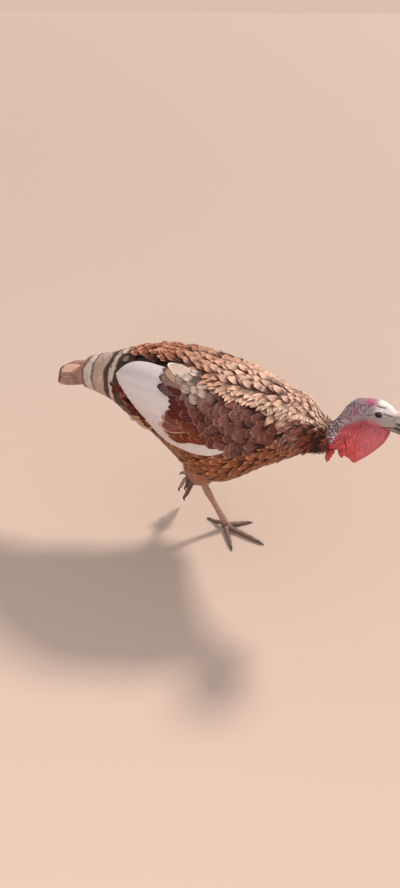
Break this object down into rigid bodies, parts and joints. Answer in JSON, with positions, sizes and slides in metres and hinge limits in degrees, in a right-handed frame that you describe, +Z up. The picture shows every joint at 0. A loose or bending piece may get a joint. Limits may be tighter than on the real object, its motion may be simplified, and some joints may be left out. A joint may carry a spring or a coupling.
{
  "type": "domestic turkey model",
  "caption": "Life-size still model of a domestic turkey tom in mid-stride: standing on one foot, the other lifted behind, head stretched forward over a red dewlap.",
  "frame": {"origin": "on the floor, under the ball of the standing (right) foot", "axes": "+X the way the bird walks, towards the bill; +Y the bird's left; +Z up"},
  "size_m": [0.9184, 0.2962, 0.4986],
  "materials": {
    "body_feather": "matte feathers over flesh",
    "rump_plume": "matte loose feathers",
    "covert_feather": "matte feathers",
    "pale_feather": "matte feathers",
    "tail_feather": "matte feathers",
    "pale_skin": "soft bare skin",
    "red_skin": "soft bare skin",
    "horn": "satin horn",
    "eye": "gloss",
    "leg_scale": "satin scales",
    "claw": "satin horn"
  },
  "bodies": {
    "root": {"wing_coverts_right": "covert_feather", "flight_feathers_right": "pale_feather", "wing_coverts_left": "covert_feather", "flight_feathers_left": "pale_feather", "tail": "tail_feather", "rump": "rump_plume", "trunk": "body_feather", "neck": "body_feather", "thigh_right": "body_feather", "shank_right": "leg_scale", "toe_middle_right": "leg_scale", "claw_middle_right": "claw", "toe_outer_right": "leg_scale", "claw_outer_right": "claw", "toe_inner_right": "leg_scale", "claw_inner_right": "claw", "toe_hind_right": "leg_scale", "claw_hind_right": "claw", "thigh_left": "body_feather", "shank_left": "leg_scale", "toe_middle_left": "leg_scale", "claw_middle_left": "claw", "toe_outer_left": "leg_scale", "claw_outer_left": "claw", "toe_inner_left": "leg_scale", "claw_inner_left": "claw", "toe_hind_left": "leg_scale", "claw_hind_left": "claw", "head": "pale_skin", "eye_right": "eye", "ear_right": "pale_skin", "eye_left": "eye", "ear_left": "pale_skin", "bill_upper": "horn", "bill_lower": "horn", "neck_skin": "red_skin", "dewlap": "red_skin", "snood": "red_skin", "caruncle_right": "red_skin", "caruncle_left": "red_skin", "caruncle_middle": "red_skin"}
  },
  "joints": []
}
